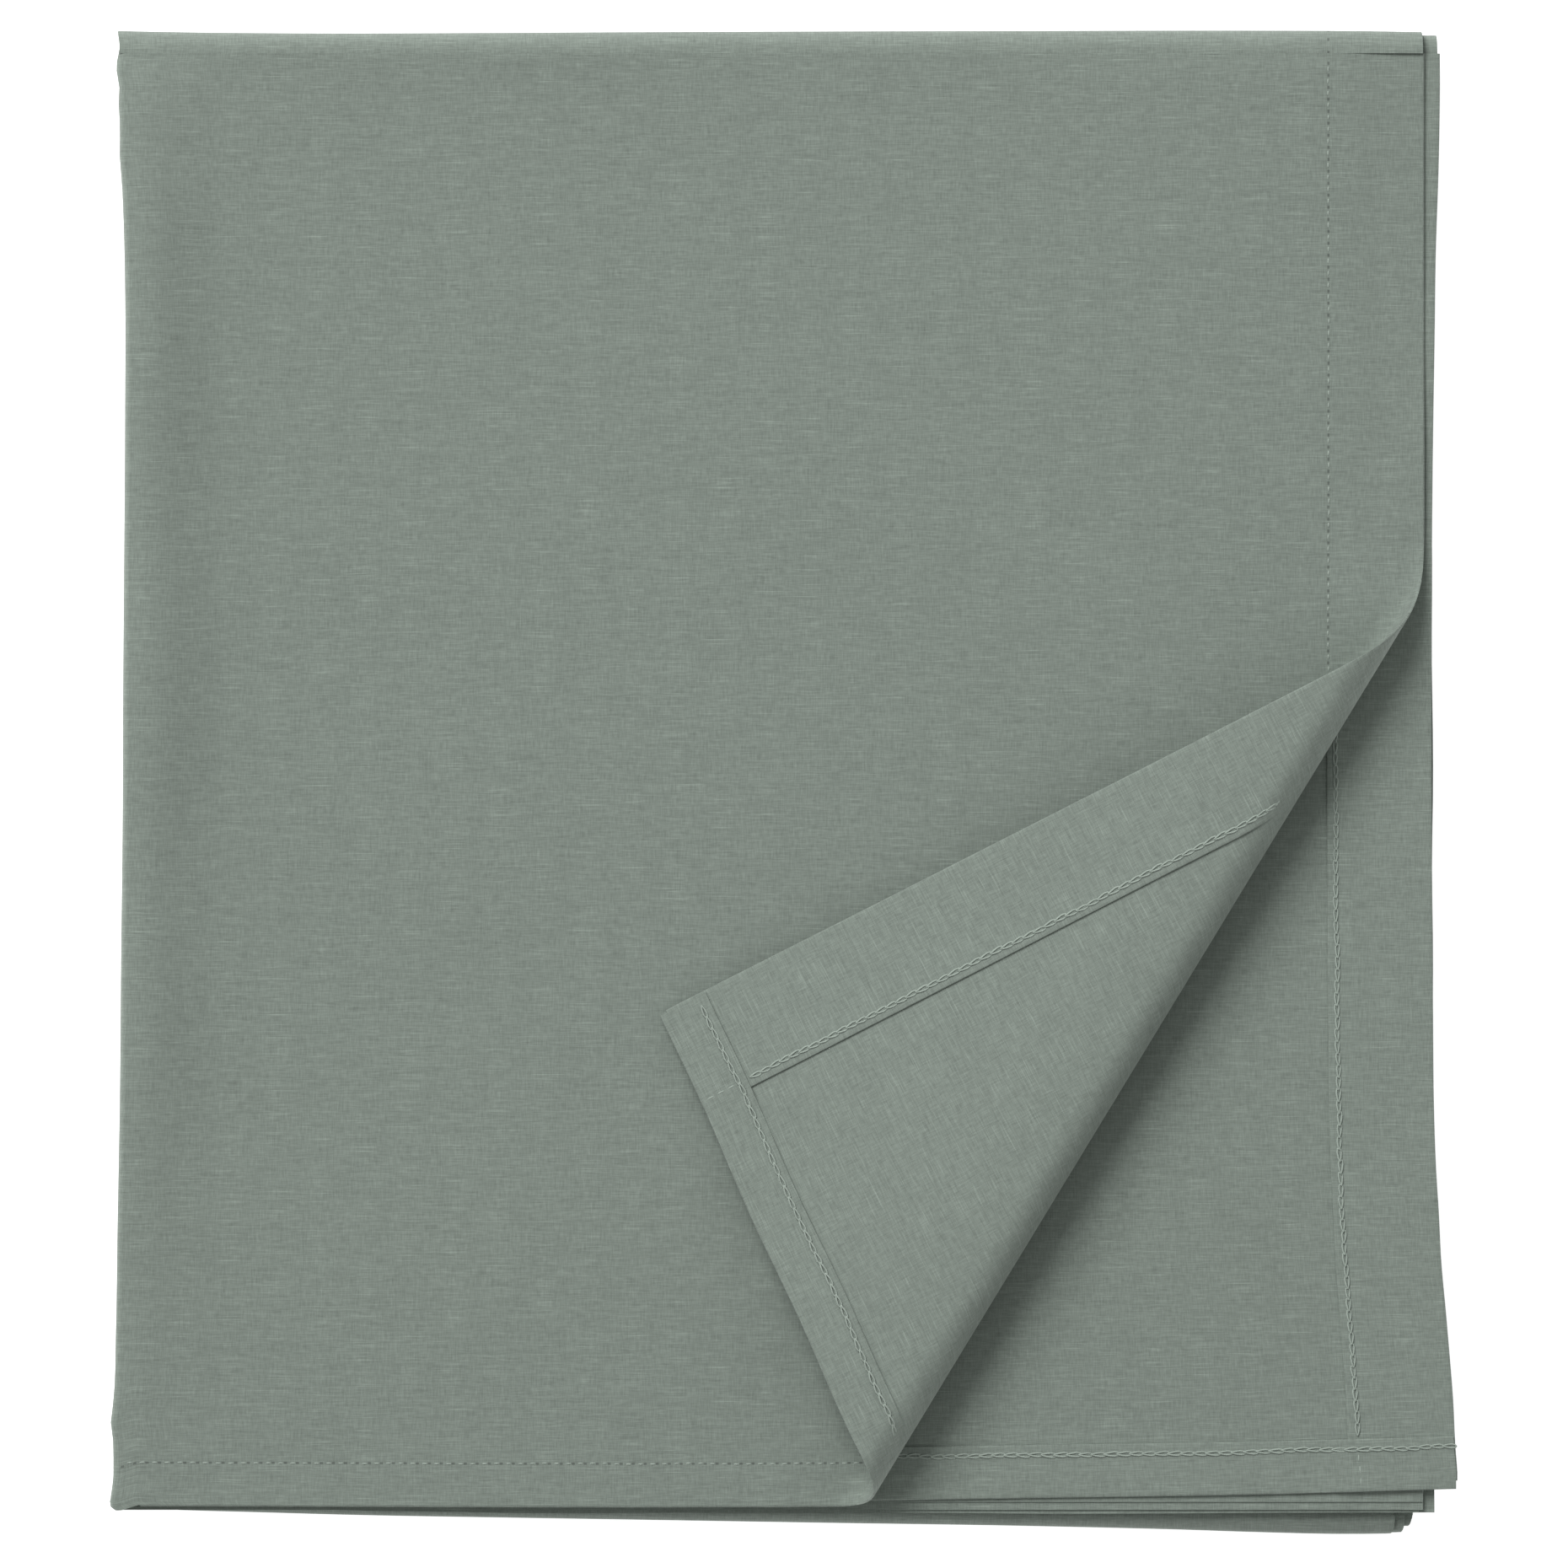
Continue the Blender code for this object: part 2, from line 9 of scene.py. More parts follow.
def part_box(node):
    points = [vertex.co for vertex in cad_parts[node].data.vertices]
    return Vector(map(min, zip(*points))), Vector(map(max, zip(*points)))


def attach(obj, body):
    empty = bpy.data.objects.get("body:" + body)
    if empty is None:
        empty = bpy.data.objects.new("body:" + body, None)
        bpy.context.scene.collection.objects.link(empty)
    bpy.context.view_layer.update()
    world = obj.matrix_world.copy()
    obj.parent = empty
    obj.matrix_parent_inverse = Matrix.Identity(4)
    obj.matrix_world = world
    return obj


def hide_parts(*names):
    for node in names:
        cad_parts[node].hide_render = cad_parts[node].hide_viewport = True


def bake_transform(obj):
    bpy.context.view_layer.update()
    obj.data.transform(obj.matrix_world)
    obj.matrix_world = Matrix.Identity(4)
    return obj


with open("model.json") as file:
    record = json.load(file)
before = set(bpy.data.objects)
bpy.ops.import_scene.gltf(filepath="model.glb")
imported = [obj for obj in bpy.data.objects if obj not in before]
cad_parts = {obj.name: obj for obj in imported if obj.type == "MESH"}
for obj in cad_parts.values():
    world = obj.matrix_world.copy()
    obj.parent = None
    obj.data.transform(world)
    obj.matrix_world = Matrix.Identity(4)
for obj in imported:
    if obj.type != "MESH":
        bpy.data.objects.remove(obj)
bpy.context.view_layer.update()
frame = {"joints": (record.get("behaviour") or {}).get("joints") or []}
print("frame loaded")

mm = 0.001
ply = 0.25 * mm  # thickness of the cloth

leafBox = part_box("strip_1")
leaf = {
    "left": leafBox[0].x,
    "right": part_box("top_leaf_side_hem")[1].x,
    "low": leafBox[0].y,
    "high": leafBox[1].y,  # where the upper folds start
    "level": leafBox[1].z - ply / 2,
    "sideHem": 30 * mm,
    "endHem": 15 * mm,
    "sideSeam": 27.6 * mm,
    "endSeam": 12.3 * mm,
}
secondLevel = (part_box("second_leaf_side_hem")[0].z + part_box("second_leaf_side_hem")[1].z) / 2 - 0.55 * mm
# heights of the top strip's four quarters
topLevels = (leaf["level"], secondLevel - 0.8 * mm, secondLevel - 0.4 * mm, secondLevel)


def ramp(t):
    t = np.clip(t, 0, 1)
    return t * t * (3 - 2 * t)


def smoothLine(stops):
    # a soft curve through (place, value) stops
    places, values = np.array(stops, float).T
    slopes = np.gradient(values, places)

    def at(x):
        x = np.clip(x, places[0], places[-1])
        i = np.clip(np.searchsorted(places, x) - 1, 0, len(places) - 2)
        w = places[i + 1] - places[i]
        t = (x - places[i]) / w
        a, b = t * t * (3 - 2 * t), t * (1 - t)
        return values[i] * (1 - a) + values[i + 1] * a + w * b * (slopes[i] * (1 - t) - slopes[i + 1] * t)
    return at


def softNoise(x, y, size, seed):
    return np.array([
        noise.noise(Vector((a / size, b / size, seed))) for a, b in zip(np.ravel(x), np.ravel(y))
    ])


def deselect():
    if bpy.context.object and bpy.context.object.mode != "OBJECT":
        bpy.ops.object.mode_set(mode="OBJECT")
    bpy.ops.object.select_all(action="DESELECT")


def pickUp(obj):
    deselect()
    obj.select_set(True)
    bpy.context.view_layer.objects.active = obj


def coords(obj):
    co = np.zeros(len(obj.data.vertices) * 3, np.float32)
    obj.data.vertices.foreach_get("co", co)
    return co.reshape(-1, 3).astype(float)


def setCoords(obj, co):
    obj.data.vertices.foreach_set("co", co.astype(np.float32).ravel())
    obj.data.update()


def flatPanel(name, columns, rows):
    # a flat panel of cloth with lines of the grid at these places
    deselect()
    bpy.ops.mesh.primitive_grid_add(
        x_subdivisions=len(columns) - 1, y_subdivisions=len(rows) - 1, size=1, location=(0, 0, 0)
    )
    obj = bpy.context.object
    obj.name = obj.data.name = name
    x, y = np.meshgrid(columns, rows)
    setCoords(obj, np.stack([x.ravel(), y.ravel(), np.zeros(x.size)], 1))
    return obj


def cutAcross(obj, point, normal, clear=False):
    # a cut right across the panel; clear drops the side that normal points to
    pickUp(obj)
    bpy.ops.object.mode_set(mode="EDIT")
    bpy.ops.mesh.select_all(action="SELECT")
    bpy.ops.mesh.bisect(
        plane_co=(*point, 0), plane_no=(*normal, 0), clear_outer=clear, use_fill=False, threshold=1e-6
    )
    bpy.ops.object.mode_set(mode="OBJECT")


def markCloth(obj, shift=(0, 0)):
    # the flat cut's own places, so that the weave follows the cloth
    co = coords(obj)
    uv = obj.data.uv_layers[0] if obj.data.uv_layers else obj.data.uv_layers.new(name="cloth")
    uv.name = "cloth"
    loops = np.zeros(len(obj.data.loops), np.int32)
    obj.data.loops.foreach_get("vertex_index", loops)
    uv.data.foreach_set("uv", (co[loops][:, :2] + np.array(shift)).astype(np.float32).ravel())


def giveThickness(obj, thickness=ply, offset=0):
    pickUp(obj)
    wall = obj.modifiers.new("thickness", "SOLIDIFY")
    wall.thickness = thickness
    wall.offset = offset
    bpy.ops.object.modifier_apply(modifier=wall.name)
    bpy.ops.object.shade_smooth_by_angle(angle=math.radians(50))


def finishPiece(obj, material, nodes=()):
    obj.data.materials.clear()
    obj.data.materials.append(material)
    if nodes:
        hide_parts(*nodes)
    return obj


cornerJoint = next(j for j in frame["joints"] if j["name"] == "corner_fold")
turn = {
    "run": 30 * mm,  # the model's roll reaches this far in from its front
    "slack": 11.57 * mm,  # cloth that the roll takes up
    "tilt": math.radians(9.3),  # the flap runs down from the roll to its tip
    "foot": np.array(cornerJoint["pos_m"][:2]),
    "along": np.array(cornerJoint["axis"][:2]),
    "lift": cornerJoint["pos_m"][2] - leaf["level"],
}
turn["in"] = np.array([-turn["along"][1], turn["along"][0]])
turn["front"] = turn["foot"] + turn["in"] * turn["slack"] / 2


def rollSection():
    # (u, z) from the leaf's foot of the roll round its front, over its crest and down the flap
    rise, run = math.sin(turn["tilt"]), math.cos(turn["tilt"])
    reach = turn["slack"] / 2 + turn["run"]
    endU = -turn["slack"] / 2 + reach * run + turn["lift"] * rise
    endZ = turn["lift"] * (1 + run) - reach * rise
    slope = rise / run
    r = (endZ + slope * endU / 2) / (2 + slope / 2)
    front = [(r + r * math.cos(a), r + r * math.sin(a)) for a in np.linspace(1.5, 0.5, 41) * math.pi]
    back = [(r + d, 2 * r - slope * d * d / (2 * (endU - r))) for d in np.linspace(0, endU - r, 25)[1:]]
    flap = [(endU + d * run, endZ - d * rise) for d in (0.05, 0.2)]
    return np.array([(turn["run"], 0)] + front + back + flap), r


section, rollRadius = rollSection()
sectionAt = np.concatenate([[0], np.cumsum(np.hypot(*np.diff(section, axis=0).T))])
turn["length"] = sectionAt[-3]
turn["frontAt"] = sectionAt[1] + rollRadius * math.pi / 2


def inwardOf(x, y):
    # how far a place in the flat cloth is inward of the front line
    return (x - turn["front"][0]) * turn["in"][0] + (y - turn["front"][1]) * turn["in"][1]


# places across which a piece is cut so that it can bend: from the roll's foot to its front, and over the roll
footCuts = np.concatenate([[turn["frontAt"]], np.linspace(sectionAt[1], turn["frontAt"], 12)[:-1]])
rollCuts = np.linspace(turn["frontAt"], turn["length"], 34)


def cutForBending(obj, places, side):
    # the first place is the front of the roll, and the piece ends there
    for n, s in enumerate(places):
        point = turn["front"] + turn["in"] * (turn["run"] - s)
        cutAcross(obj, point, turn["in"] * side, clear=n == 0)


def overTheRoll(co):
    # takes (x, y, height above the leaf) in the flat cloth to its place round the roll
    x, y, off = co.T
    s = turn["run"] - inwardOf(x, y)
    along = (x - turn["front"][0]) * turn["along"][0] + (y - turn["front"][1]) * turn["along"][1]
    u, z = (np.interp(s, sectionAt, line) for line in section.T)
    u = np.where(s < 0, turn["run"] - s, u)
    step = 0.4 * mm
    du, dz = (
        np.interp(s + step, sectionAt, line) - np.interp(s - step, sectionAt, line) for line in section.T
    )
    du = np.where(s < step, -1.0, du)
    size = np.hypot(du, dz)
    u = u - off * dz / size
    z = z - off * du / size
    place = turn["front"] + np.outer(u, turn["in"]) + np.outer(along, turn["along"])
    return np.column_stack([place, leaf["level"] + z])


leafLie = {
    # the left fold stands up in a soft ridge, and the leaf sinks behind it
    "ridge": smoothLine([
        (0, 4.4 * mm), (0.004, 4.8 * mm), (0.009, 4.75 * mm), (0.0125, 4.1 * mm), (0.016, 2.8 * mm),
        (0.0235, 0.3 * mm), (0.032, -1.0 * mm), (0.045, -1.8 * mm), (0.060, -2.2 * mm), (0.080, -2.3 * mm),
        (0.12, -1.9 * mm), (0.20, -1.0 * mm), (0.32, 0),
    ]),
    "ridgeAmount": smoothLine([
        (-0.21, 0.10), (-0.15, 0.25), (-0.09, 0.8), (0.0, 1.0), (0.12, 1.0), (0.18, 0.75), (0.205, 0.35),
        (0.213, 0.1),
    ]),
    "bendsAt": 1.9 * mm,  # from the left edge, where the leaf bends down into the fold
    "topRidge": 0.12 * mm,
    "waves": 0.30 * mm,
    "rightSag": 1.0 * mm,  # outside its seam the hem sinks on to the one below
    "bulge": 1.6 * mm,  # beside the roll's upper end
    "bulgeAt": (0.1715, 0.0515),
    "bulgeSize": 11 * mm,
    "flapWaves": 0.35 * mm,
    "leftEdge": smoothLine([
        (-0.2112, -1.2 * mm), (-0.2100, -2.8 * mm), (-0.2085, -3.1 * mm), (-0.205, -2.35 * mm),
        (-0.198, -2.1 * mm), (-0.191, -2.2 * mm), (-0.186, -2.85 * mm), (-0.180, -2.1 * mm),
        (-0.160, -1.35 * mm), (-0.131, -0.9 * mm), (-0.091, -0.2 * mm), (-0.052, 0.15 * mm),
        (-0.013, 0.6 * mm), (0.027, 0.75 * mm), (0.066, 1.05 * mm), (0.105, 1.3 * mm), (0.145, 1.3 * mm),
        (0.165, 0.85 * mm), (0.175, 0.4 * mm), (0.184, -0.3 * mm), (0.191, -0.15 * mm), (0.198, -0.55 * mm),
        (0.203, -0.35 * mm), (0.209, -1.2 * mm), (0.215, -0.35 * mm), (0.219, -0.9 * mm),
    ]),
    "flare": smoothLine([(-0.205, 2.7 * mm), (-0.080, 1.0 * mm), (0.0, 0.0), (0.1, 0.0)]),
    "lift": smoothLine([
        (-0.2, 0.3 * mm), (0.028, 0.3 * mm), (0.053, 0.6 * mm), (0.090, 2.6 * mm), (0.121, 3.4 * mm),
        (0.155, 5.6 * mm), (0.188, 6.5 * mm),
    ]),
}


def leafShape(x, y):
    # the leaf isn't quite square
    dx = leafLie["flare"](y) * ramp((x - leaf["right"]) / 0.08 + 1)
    dx = dx + leafLie["leftEdge"](y) * ramp((leaf["left"] - x) / 0.05 + 1)
    dy = leafLie["lift"](x) * ramp((leaf["low"] - y) / 0.08 + 1)
    return x + dx, y + dy


def leafRelief(x, y):
    # height above the flat: soft ridges by the folded edges, and long slow waves
    fromLeft = x - leaf["left"]
    fromTop = leaf["high"] - y
    amount = leafLie["ridgeAmount"](y) * (0.9 + 0.3 * softNoise(x * 0, y, 0.07, 3.3))
    shift = 2.5 * mm * softNoise(x * 0, y, 0.06, 5.9)
    h = leafLie["ridge"](np.maximum(fromLeft + shift * ramp(fromLeft / 0.01), 0)) * amount
    h = h + leafLie["topRidge"] * np.exp(-((fromTop - 7 * mm) / (5 * mm)) ** 2)
    h = h + leafLie["waves"] * softNoise(x, y, 0.09, 7.1)
    h = h * ramp(fromTop / (5 * mm))
    h = h - leafLie["rightSag"] * ramp((x - leaf["right"] + leaf["sideSeam"] - 2 * mm) / (22 * mm))
    s = turn["run"] - inwardOf(x, y)
    onLeaf = 1 - ramp((s + 8 * mm) / (20 * mm))
    flapWave = leafLie["flapWaves"] * softNoise(x, y, 0.06, 11.7) * ramp((s - turn["length"]) / (20 * mm))
    fromBulge = np.hypot(x - leafLie["bulgeAt"][0], y - leafLie["bulgeAt"][1])
    bulge = leafLie["bulge"] * np.exp(-((fromBulge / leafLie["bulgeSize"]) ** 2))
    return h * onLeaf + bulge * (1 - ramp((s - 24 * mm) / (8 * mm))) - np.abs(flapWave)


def layLeaf(co):
    x, y = leafShape(co[:, 0], co[:, 1])
    return overTheRoll(np.column_stack([x, y, co[:, 2] + leafRelief(co[:, 0], co[:, 1])]))


secondLie = {
    "right": leaf["right"] + 3.1 * mm,
    "edge": smoothLine([
        (-0.206, 6.6 * mm), (-0.200, 6.1 * mm), (-0.185, 5.4 * mm), (-0.170, 4.3 * mm), (-0.155, 3.1 * mm),
        (-0.141, 1.9 * mm), (-0.126, 1.2 * mm), (-0.111, 0.3 * mm), (-0.096, -0.2 * mm), (-0.067, -0.5 * mm),
        (0.105, -0.45 * mm), (0.130, -0.05 * mm), (0.155, 0.3 * mm), (0.179, 1.1 * mm), (0.204, 1.5 * mm),
        (0.213, 1.5 * mm),
    ]),
    "low": smoothLine([
        (-0.2, 1.6 * mm), (0.0, 1.6 * mm), (0.075, 2.6 * mm), (0.133, 3.6 * mm), (0.195, 5.5 * mm),
    ]),
    "waves": 0.35 * mm,
}


def laySecond(co):
    x, y, off = co.T
    dx = secondLie["edge"](y) * ramp((x - secondLie["right"]) / 0.15 + 1)
    dy = secondLie["low"](x) * ramp((leaf["low"] - y) / 0.10 + 1)
    h = secondLie["waves"] * softNoise(x, y, 0.07, 21.3) * ramp((leaf["high"] - y) / 0.02)
    return np.column_stack([x + dx, y + dy, secondLevel + off + h])


class Sums:
    # a socket that does sums with its neighbours
    def __init__(self, tree, socket):
        self.tree = tree
        self.socket = socket

    def node(self, kind, settings=None, out=0, **inputs):
        made = self.tree.nodes.new(kind)
        for key, value in (settings or {}).items():
            setattr(made, key, value)
        for key, value in inputs.items():
            numbered = key[0] == "i" and key[1:].isdigit()
            place = made.inputs[int(key[1:]) if numbered else key]
            if isinstance(value, Sums):
                self.tree.links.new(value.socket, place)
            else:
                place.default_value = value
        return Sums(self.tree, made.outputs[out])

    def maths(self, operation, *others):
        places = {f"i{n}": other for n, other in enumerate(others)}
        return self.node("ShaderNodeMath", {"operation": operation}, **places)

    def __add__(self, other): return self.maths("ADD", self, other)
    def __radd__(self, other): return self.maths("ADD", other, self)
    def __sub__(self, other): return self.maths("SUBTRACT", self, other)
    def __rsub__(self, other): return self.maths("SUBTRACT", other, self)
    def __mul__(self, other): return self.maths("MULTIPLY", self, other)
    def __rmul__(self, other): return self.maths("MULTIPLY", other, self)
    def __truediv__(self, other): return self.maths("DIVIDE", self, other)


def startFinish(name):
    material = bpy.data.materials.new(name)
    material.use_nodes = True
    tree = material.node_tree
    shader = tree.nodes["Principled BSDF"]
    return material, tree, shader


clothLook = {
    "colour": (0.212, 0.249, 0.218),
    "weave": 0.42 * mm,  # two threads
    "weaveShade": 0.035,
    "slub": 0.264,
    "fineSlub": 0.528,
    "thickThread": 1.3,
    "mottle": 0.05,
    "bump": 0.40,
    "sheen": 0.12,
}
# the needle holes get painted shade in the base colour
needleHole = {"half": 0.33 * mm, "share": 0.74, "holeShadePainted": 0.42, "pucker": 2.2 * mm}


def clothFinish(name, tint=1.0, seams=()):
    material, tree, shader = startFinish(name)
    s = Sums(tree, None)
    place = s.node("ShaderNodeUVMap", {"uv_map": "cloth"})
    split = tree.nodes.new("ShaderNodeSeparateXYZ")
    tree.links.new(place.socket, split.inputs[0])
    u, v = Sums(tree, split.outputs[0]), Sums(tree, split.outputs[1])

    def streaks(across, along, seed, swap=False, detail=2):
        a, b = (v, u) if swap else (u, v)
        spot = s.node("ShaderNodeCombineXYZ", X=a / across, Y=b / along, Z=seed)
        return s.node("ShaderNodeTexNoise", Vector=spot, Scale=1.0, Detail=detail, Roughness=0.6) - 0.5

    wave = 2 * math.pi / clothLook["weave"]
    wander = streaks(4 * mm, 4 * mm, 1.7) * 1.2
    warp, weft = (s.maths("SINE", place * wave + wander) for place in (u, v))
    weave = warp * weft
    slubs = streaks(0.40 * mm, 14 * mm, 2.1) + streaks(0.40 * mm, 14 * mm, 5.3, True)
    fine = streaks(0.30 * mm, 3.2 * mm, 8.9, detail=1) + streaks(0.30 * mm, 3.2 * mm, 12.4, True, 1)
    thick = s.maths("MAXIMUM", streaks(0.30 * mm, 13 * mm, 21.0, True, 0) - 0.12, 0.0)
    mottle = streaks(35 * mm, 45 * mm, 17.0, detail=3)
    shade = 1 + slubs * clothLook["slub"] + fine * clothLook["fineSlub"] + mottle * clothLook["mottle"]
    shade = shade + weave * clothLook["weaveShade"] + thick * clothLook["thickThread"]
    height = weave * 0.4 + slubs * 0.9 + fine * 0.9
    for axis, at, pitch in seams:
        # the needle's holes, darkened with painted shade, and the slight pucker along a seam
        across, along = (u, v) if axis == "u" else (v, u)
        off = s.maths("ABSOLUTE", across - at)
        beat = s.maths("ABSOLUTE", s.maths("FRACT", along / pitch) - 0.5) * 2
        hole = s.maths("LESS_THAN", off, needleHole["half"])
        hole = hole * s.maths("GREATER_THAN", beat, needleHole["share"])
        pucker = s.maths("MAXIMUM", 1 - off / needleHole["pucker"], 0.0)
        # painted shade: the needle holes are darkened in the base colour
        shade = shade * (1 - hole * needleHole["holeShadePainted"])
        height = height - pucker * pucker * (0.8 + beat * 0.8) - hole * 1.5
    base = [c * tint for c in clothLook["colour"]]
    colour = s.node("ShaderNodeVectorMath", {"operation": "SCALE"}, Vector=base, Scale=shade)
    tree.links.new(colour.socket, shader.inputs["Base Color"])
    rough = 0.88 - slubs * 0.25
    tree.links.new(rough.socket, shader.inputs["Roughness"])
    bump = s.node("ShaderNodeBump", Strength=clothLook["bump"], Distance=0.12 * mm, Height=height)
    tree.links.new(bump.socket, shader.inputs["Normal"])
    shader.inputs["Sheen Weight"].default_value = clothLook["sheen"]
    shader.inputs["Sheen Roughness"].default_value = 0.6
    shader.inputs["Specular IOR Level"].default_value = 0.25
    return material


threadLook = {
    "colour": (0.35, 0.41, 0.36), "twist": 0.55 * mm, "twistShade": 0.07, "fuzz": 0.35, "sheen": 0.2,
}


def threadFinish(name):
    material, tree, shader = startFinish(name)
    s = Sums(tree, None)
    place = s.node("ShaderNodeTexCoord", out=3)
    split = tree.nodes.new("ShaderNodeSeparateXYZ")
    tree.links.new(place.socket, split.inputs[0])
    x, y = Sums(tree, split.outputs[0]), Sums(tree, split.outputs[1])
    strands = s.maths("SINE", (x + y) * (2 * math.pi / threadLook["twist"]))
    fuzz = s.node("ShaderNodeTexNoise", Vector=place, Scale=900.0, Detail=2.0) - 0.5
    shade = 1 + strands * threadLook["twistShade"] + fuzz * threadLook["fuzz"]
    base = list(threadLook["colour"])
    colour = s.node("ShaderNodeVectorMath", {"operation": "SCALE"}, Vector=base, Scale=shade)
    tree.links.new(colour.socket, shader.inputs["Base Color"])
    tree.links.new((0.62 + fuzz * 0.3).socket, shader.inputs["Roughness"])
    bump = s.node("ShaderNodeBump", Strength=0.5, Distance=0.05 * mm, Height=strands + fuzz)
    tree.links.new(bump.socket, shader.inputs["Normal"])
    shader.inputs["Sheen Weight"].default_value = threadLook["sheen"]
    return material


needlePitch = 3.5 * mm
seamU = leaf["right"] - leaf["sideSeam"]
seamV = leaf["low"] + leaf["endSeam"]
faceCloth = clothFinish("sageClothFace", seams=[("u", seamU, needlePitch), ("v", seamV, needlePitch)])
wrongCloth = clothFinish("sageClothWrongSide", tint=1.03)
# a slightly darker copy of the same cloth for the pieces inside and round the folds: painted shade
innerClothPaintedShade = clothFinish("sageClothInsidePaintedShade", tint=0.98)
sewingThread = threadFinish("sageThread")
print("finishes made")


def bend(cx, cz, r, start, sweep, steps=6):
    return [
        (cx + r * math.cos(a), cz + r * math.sin(a))
        for a in np.linspace(start, start + sweep, steps + 1) * math.pi / 2
    ]


def windingPath(z, edges, left, cell):
    # z: heights of the first, second, third and fourth quarters; edges: right edges of the same
    up = 1 if z[0] > z[1] else -1
    outer, inner, right = abs(z[0] - z[1]) / 2, abs(z[2] - z[3]) / 2, abs(z[1] - z[2]) / 2
    corners = [(edges[0], z[0])]
    corners += bend(left + outer, (z[0] + z[1]) / 2, outer, up, 2 * up)
    corners += bend(edges[1] - right, (z[1] + z[2]) / 2, right, -up, 2 * up, 4)
    corners += bend(left + outer + 0.3 * mm, (z[2] + z[3]) / 2, inner, -up, -2 * up, 4)
    corners.append((edges[3], z[3]))
    path = [corners[0]]
    for a, b in zip(corners, corners[1:]):
        n = max(1, math.ceil(math.dist(a, b) / cell))
        path += [(a[0] + (b[0] - a[0]) * k / n, a[1] + (b[1] - a[1]) * k / n) for k in range(1, n + 1)]
    path = np.array(path)
    at = np.concatenate([[0], np.cumsum(np.hypot(*np.diff(path, axis=0).T))])
    return path, at


def evenly(low, high, cell):
    # evenly spaced, with closer lines by both ends
    places = np.linspace(low, high, max(2, round((high - low) / cell)) + 1)
    extra = [low + 1 * mm, low + 2.5 * mm, high - 2.5 * mm, high - 1 * mm]
    return np.unique(np.concatenate([places, extra]))


def quarterLevels(node, upward):
    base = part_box(node)[0].z + ply / 2
    step = (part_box(node)[1].z - ply / 2 - base) / 5
    levels = [base, base + 5 * step, base + 4 * step, base + 3 * step]
    return levels if not upward else [base + 5 * step, base, base + step, base + 2 * step]


skew = -0.0187  # the lower folds run a little out of square with the leaf

innerStrips = {
    # right edges of the fold and of the two hemmed quarters, inward of the top leaf's
    "strip_2": {"fold": 3.0 * mm, "hem": 5.0 * mm, "up": False, "body": "middle_third"},
    "strip_3": {"fold": 3.5 * mm, "hem": 4.5 * mm, "up": True, "body": "bottom_third"},
    "strip_4": {"fold": 3.0 * mm, "hem": 6.0 * mm, "up": False, "body": "bottom_third"},
    "strip_5": {"fold": 2.7 * mm, "hem": 8.2 * mm, "up": True, "body": "middle_third"},
    "strip_6": {"fold": 1.8 * mm, "hem": -2.9 * mm, "up": False, "body": "top_third"},
}
bottomJoint = next(j for j in frame["joints"] if j["name"] == "bottom_fold")
foldRadius = (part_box("strip_5")[1].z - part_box("strip_4")[0].z) / 2


def lowLine(x):
    # where strips 2 to 5 end and the lower folds start
    return bottomJoint["pos_m"][1] + foldRadius + skew * (x - bottomJoint["pos_m"][0])


def woundStrip(name, node, spec):
    z = quarterLevels(node, spec["up"])
    fold, hem = leaf["right"] - spec["fold"], leaf["right"] - spec["hem"]
    path, at = windingPath(z, (hem, fold, fold, hem), leaf["left"], 9 * mm)
    low = leaf["low"] - 2.3 * mm if node == "strip_6" else lowLine(0)
    rows = evenly(low, leaf["high"], 10 * mm)
    obj = flatPanel(name, hem - at[::-1], rows)
    markCloth(obj, (0.7 * z[0] / mm, 0.3 * z[0] / mm))
    co = coords(obj)
    p, y = hem - co[:, 0], co[:, 1]
    x = np.interp(p, at, path[:, 0])
    h = np.interp(p, at, path[:, 1])
    seed = z[0] / mm
    if node != "strip_6":
        y = y + (lowLine(x) - lowLine(0)) * (leaf["high"] - y) / (leaf["high"] - low)
    else:
        atLow = ramp((low - y) / 0.05 + 1)
        drop = 0.35 * mm * softNoise(x, h * 0, 0.05, seed) + 2.2 * mm * ramp((-0.06 - x) / 0.14)
        y = y + drop * atLow
        x = x + 0.7 * mm * atLow * (x > 0.15)
    edge = 0.45 * mm * softNoise(x * 0 + seed, y, 0.035, seed + h[0]) * ramp(np.abs(x) / 0.03 - 4)
    edge = np.where(x < 0, np.abs(edge) + leafLie["leftEdge"](y) * ramp((leaf["left"] - x) / 0.05 + 1), edge)
    setCoords(obj, np.column_stack([x + edge, y, h]))
    giveThickness(obj)
    finishPiece(obj, innerClothPaintedShade, [node])
    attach(obj, spec["body"])
    leaf["high"] - low
    return obj


for node, spec in innerStrips.items():
    woundStrip(node.replace("strip_", "innerStrip"), node, spec)
print("inner strips wound")


